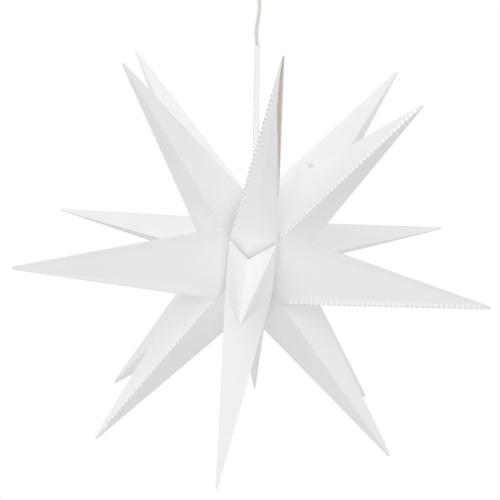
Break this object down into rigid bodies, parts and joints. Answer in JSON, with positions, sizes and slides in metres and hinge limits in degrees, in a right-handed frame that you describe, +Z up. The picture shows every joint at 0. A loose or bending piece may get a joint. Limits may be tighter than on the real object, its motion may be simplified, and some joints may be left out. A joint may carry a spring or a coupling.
{
  "type": "star pendant lamp",
  "caption": "Hanging many-pointed star shade of folded white sheet round a small bulb, on a flat cord from a ceiling rose.",
  "frame": {"origin": "centre of the rose's flat ceiling face", "axes": "+Z up along the cord, out of the ceiling face; -Y is the side that the picture shows; +X to its right"},
  "size_m": [0.5523, 0.5637, 0.7377],
  "materials": {
    "star_sheet": "matt translucent sheet",
    "white_moulding": "satin moulded",
    "steel_screw": "zinc plated",
    "brass_part": "stamped",
    "grip_plastic": "moulded",
    "insert_plastic": "pressed",
    "cord_sheath": "soft white flex",
    "bulb_cap_metal": "rolled thread",
    "black_glass": "vitrite",
    "solder": "solder",
    "frosted_glass": "frosted",
    "clear_glass": "clear",
    "filament_wire": "drawn wire"
  },
  "bodies": {
    "rose": {"rose_cover": "white_moulding", "cover_screws": "steel_screw", "rose_base": "white_moulding", "cord_clamp": "grip_plastic", "clamp_screws": "steel_screw", "terminal_block": "grip_plastic", "terminal_screws": "brass_part", "cord_gland": "white_moulding", "gland_nut": "white_moulding", "cord_inner": "cord_sheath"},
    "cord_top": {"cord_head": "cord_sheath"},
    "lamp": {"cord": "cord_sheath", "holder_cap": "white_moulding", "holder_body": "white_moulding", "holder_insert": "insert_plastic", "holder_screws": "brass_part", "holder_sleeve": "brass_part", "holder_contact": "brass_part", "cord_grip": "grip_plastic", "grip_screws": "steel_screw"},
    "bulb": {"bulb_cap": "bulb_cap_metal", "bulb_insulator": "black_glass", "bulb_contact": "solder", "bulb_glass": "frosted_glass", "bulb_stem": "clear_glass", "bulb_filament": "filament_wire"},
    "star": {"point_front": "star_sheet", "point_front_top": "star_sheet", "point_front_bottom": "star_sheet", "point_front_left": "star_sheet", "point_front_right": "star_sheet", "point_front_upper_left": "star_sheet", "point_front_upper_right": "star_sheet", "point_front_lower_left": "star_sheet", "point_front_lower_right": "star_sheet", "point_back": "star_sheet", "point_back_top": "star_sheet", "point_back_bottom": "star_sheet", "point_back_left": "star_sheet", "point_back_right": "star_sheet", "point_back_upper_left": "star_sheet", "point_back_upper_right": "star_sheet", "point_back_lower_left": "star_sheet", "point_back_lower_right": "star_sheet"}
  },
  "joints": [
    {"name": "swing_side", "type": "hinge", "parent": "rose", "child": "cord_top", "pos_m": [0, 0, -0.04], "axis": [0, 1, 0], "range_deg": [-30, 30]},
    {"name": "swing_front", "type": "hinge", "parent": "cord_top", "child": "lamp", "pos_m": [0, 0, -0.052], "axis": [1, 0, 0], "range_deg": [-30, 30]},
    {"name": "star_turn", "type": "hinge", "parent": "lamp", "child": "star", "pos_m": [0, 0, -0.44], "axis": [0, 0, 1], "continuous": true},
    {"name": "bulb_travel", "type": "slide", "parent": "lamp", "child": "bulb", "axis": [0, 0, -1], "range_m": [0, 0.014]}
  ]
}
